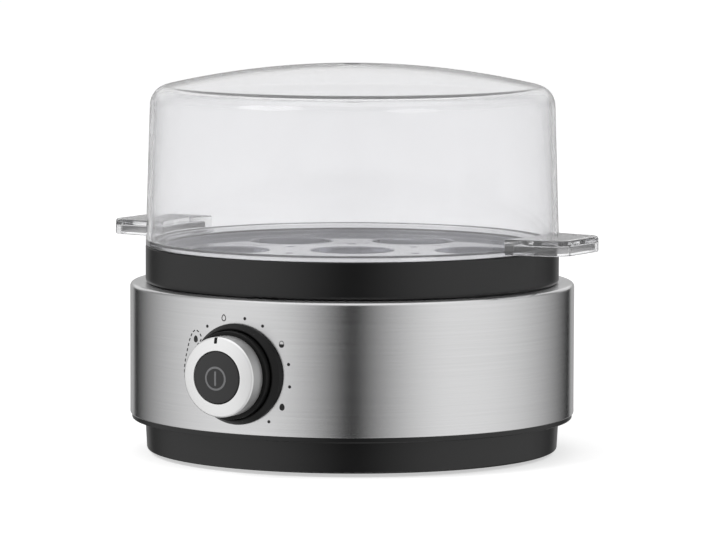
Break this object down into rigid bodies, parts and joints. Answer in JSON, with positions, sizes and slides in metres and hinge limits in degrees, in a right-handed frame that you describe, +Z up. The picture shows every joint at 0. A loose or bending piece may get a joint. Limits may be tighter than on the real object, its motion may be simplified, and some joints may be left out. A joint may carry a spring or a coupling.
{
  "type": "electric egg cooker",
  "caption": "Round electric egg cooker: steel band on a black base, boiling pan, egg tray under a clear lid with two handles, and a timer knob with a power button.",
  "frame": {"origin": "on the body's axis at the level of the table that the rubber feet stand on", "axes": "+Z up, -Y towards the knob, +X and -X along the lid's two handles, +Y out of the cord bush at the back"},
  "size_m": [0.2056, 0.2064, 0.1531],
  "materials": {
    "black_plastic": "fine satin texture",
    "black_rubber": "matt",
    "zinc_screw": "zinc plated",
    "brushed_band": "brushed round the body",
    "pan_steel": "satin",
    "silicone": "matt",
    "spreader_aluminium": "mill",
    "element_sheath": "annealed",
    "steatite": "unglazed",
    "phenolic": "moulded",
    "strap_steel": "plated",
    "tag_brass": "stamped",
    "bezel_plastic": "satin",
    "inner_plastic": "moulded",
    "spring_steel": "drawn wire",
    "circuit_board": "solder mask",
    "component_black": "moulded",
    "relay_blue": "moulded",
    "capacitor_sleeve": "shrunk sleeve",
    "nylon_white": "moulded",
    "lead_brown": "insulation",
    "lead_blue": "insulation",
    "lead_green": "insulation",
    "lead_red": "silicone sleeve",
    "knob_silver": "metallised, bright chamfer",
    "knob_black": "satin",
    "button_grey": "matt",
    "tray_clear": "clear moulding, slightly smoky",
    "lid_clear": "clear moulding"
  },
  "bodies": {
    "base": {"base_tub": "black_plastic", "rubber_feet": "black_rubber", "tie_screws": "zinc_screw", "steel_band": "brushed_band", "upper_ring": "black_plastic", "boiling_pan": "pan_steel", "pan_seal": "silicone", "heat_spreader": "spreader_aluminium", "heating_element": "element_sheath", "element_terminals": "steatite", "thermostat": "phenolic", "thermostat_strap": "strap_steel", "thermal_fuse": "steatite", "fuse_strap": "strap_steel", "earth_tag": "tag_brass", "strap_screws": "zinc_screw", "knob_bezel": "bezel_plastic", "bezel_screws": "zinc_screw", "control_carrier": "inner_plastic", "carrier_screws": "zinc_screw", "knob_circlip": "spring_steel", "encoder_stator": "circuit_board", "control_board": "circuit_board", "board_screws": "zinc_screw", "tact_switch": "component_black", "relay": "relay_blue", "capacitor": "capacitor_sleeve", "buzzer": "component_black", "control_chip": "component_black", "board_connector": "nylon_white", "button_spring": "spring_steel", "cord_bush": "black_rubber", "cord_clamp": "inner_plastic", "cord_clamp_screws": "zinc_screw", "terminal_block": "nylon_white", "terminal_screws": "tag_brass", "live_lead": "lead_brown", "neutral_lead": "lead_blue", "earth_lead": "lead_green", "heater_lead": "lead_red", "fuse_lead": "lead_red"},
    "knob": {"knob_cap": "knob_silver", "knob_skirt": "knob_black", "knob_pointer": "knob_black", "encoder_rotor": "nylon_white"},
    "power_button": {"power_button": "button_grey", "button_stem": "nylon_white"},
    "egg_tray": {"egg_tray": "tray_clear"},
    "lid": {"lid": "lid_clear"}
  },
  "joints": [
    {"name": "knob_turn", "type": "hinge", "parent": "base", "child": "knob", "pos_m": [0, -0.0875, 0.039], "axis": [0, 1, 0], "range_deg": [-137.5, 145.5]},
    {"name": "button_press", "type": "slide", "parent": "base", "child": "power_button", "axis": [0, 1, 0], "range_m": [0, 0.002], "stiffness_N_per_m": 900, "deforming": ["button_spring"]},
    {"name": "tray_lift", "type": "slide", "parent": "base", "child": "egg_tray", "axis": [0, 0, 1], "range_m": [0, 0.045]},
    {"name": "lid_lift", "type": "slide", "parent": "base", "child": "lid", "axis": [0, 0, 1], "range_m": [0, 0.1]}
  ]
}
